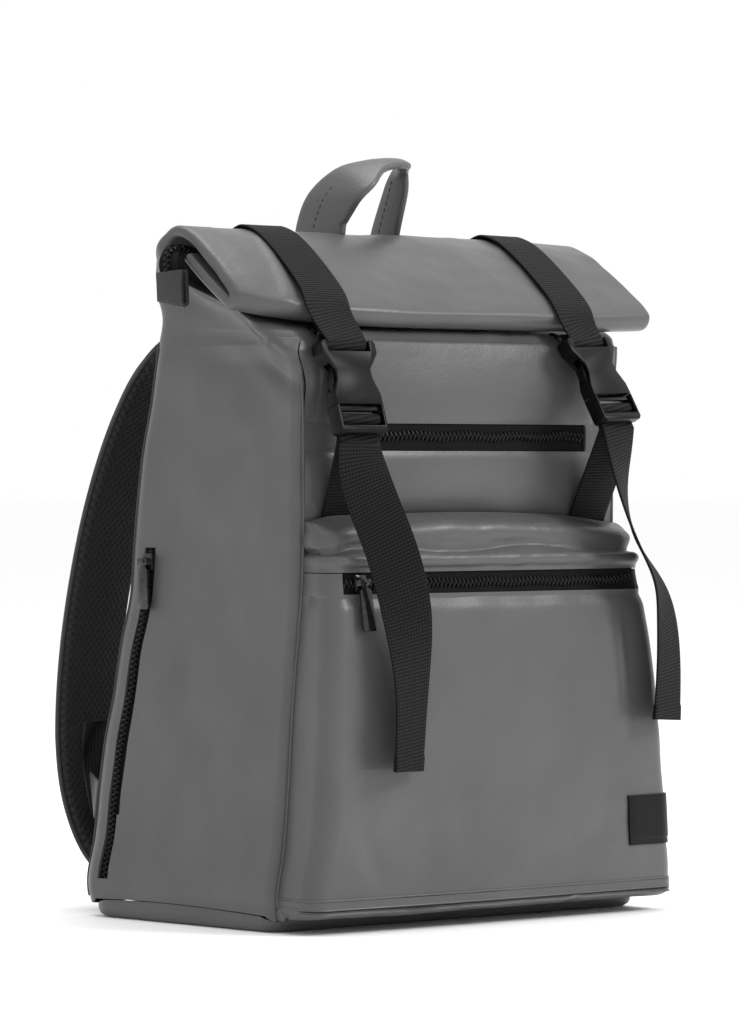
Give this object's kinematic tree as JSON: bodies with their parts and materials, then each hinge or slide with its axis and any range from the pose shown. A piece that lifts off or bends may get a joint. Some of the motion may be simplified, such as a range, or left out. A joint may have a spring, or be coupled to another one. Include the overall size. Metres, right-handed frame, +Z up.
{
  "type": "rolltop backpack",
  "caption": "Rolltop backpack of grey faux leather, fastened by side-release buckles, with a zipped front pocket, side zip, handle and padded shoulder straps.",
  "frame": {"origin": "on the floor plane under the middle of the bag's base", "axes": "+Z up, -Y towards the front with the pocket and buckles, +X to the right seen from the front"},
  "size_m": [0.3252, 0.2936, 0.4516],
  "materials": {
    "grey_leather": "matt, fine grain",
    "black_leather": "satin, fine grain",
    "black_webbing": "woven",
    "black_mesh": "air mesh",
    "zip_tape": "woven tape with coil",
    "black_plastic": "moulded",
    "black_metal": "glossy black"
  },
  "bodies": {
    "bag": {"base_panel": "grey_leather", "front_panel": "grey_leather", "side_panel_left": "grey_leather", "side_panel_right": "grey_leather", "back_panel": "black_mesh", "upper_zip": "zip_tape", "side_zip": "zip_tape", "pocket_front": "grey_leather", "pocket_floor": "grey_leather", "pocket_hood": "grey_leather", "pocket_zip": "zip_tape", "label_patch": "black_leather", "roll_collar": "grey_leather", "main_zip": "zip_tape", "zip_end_tab": "grey_leather", "handle": "grey_leather", "pocket_slider": "black_metal", "side_slider": "black_metal", "upper_strap_left": "black_webbing", "upper_strap_right": "black_webbing", "lower_strap_left": "black_webbing", "lower_strap_right": "black_webbing", "buckle_socket_left": "black_plastic", "buckle_socket_right": "black_plastic", "buckle_plug_left": "black_plastic", "buckle_plug_right": "black_plastic", "snap_stud_left": "black_metal", "snap_stud_right": "black_metal", "shoulder_strap_left": "black_mesh", "shoulder_strap_right": "black_mesh", "lower_webbing_left": "black_webbing", "lower_webbing_right": "black_webbing", "strap_tab_left": "grey_leather", "strap_tab_right": "grey_leather"},
    "pocket_zip_pull": {"pocket_pull": "black_metal"},
    "side_zip_pull": {"side_pull": "black_metal"}
  },
  "joints": [
    {"name": "pocket_pull_hinge", "type": "hinge", "parent": "bag", "child": "pocket_zip_pull", "pos_m": [-0.10502, -0.11341, 0.19976], "axis": [-1, 0, 0], "range_deg": [0, 12]},
    {"name": "side_pull_hinge", "type": "hinge", "parent": "bag", "child": "side_zip_pull", "pos_m": [-0.1339, 0.04887, 0.21], "axis": [0, 1, 0], "range_deg": [0, 150]}
  ]
}
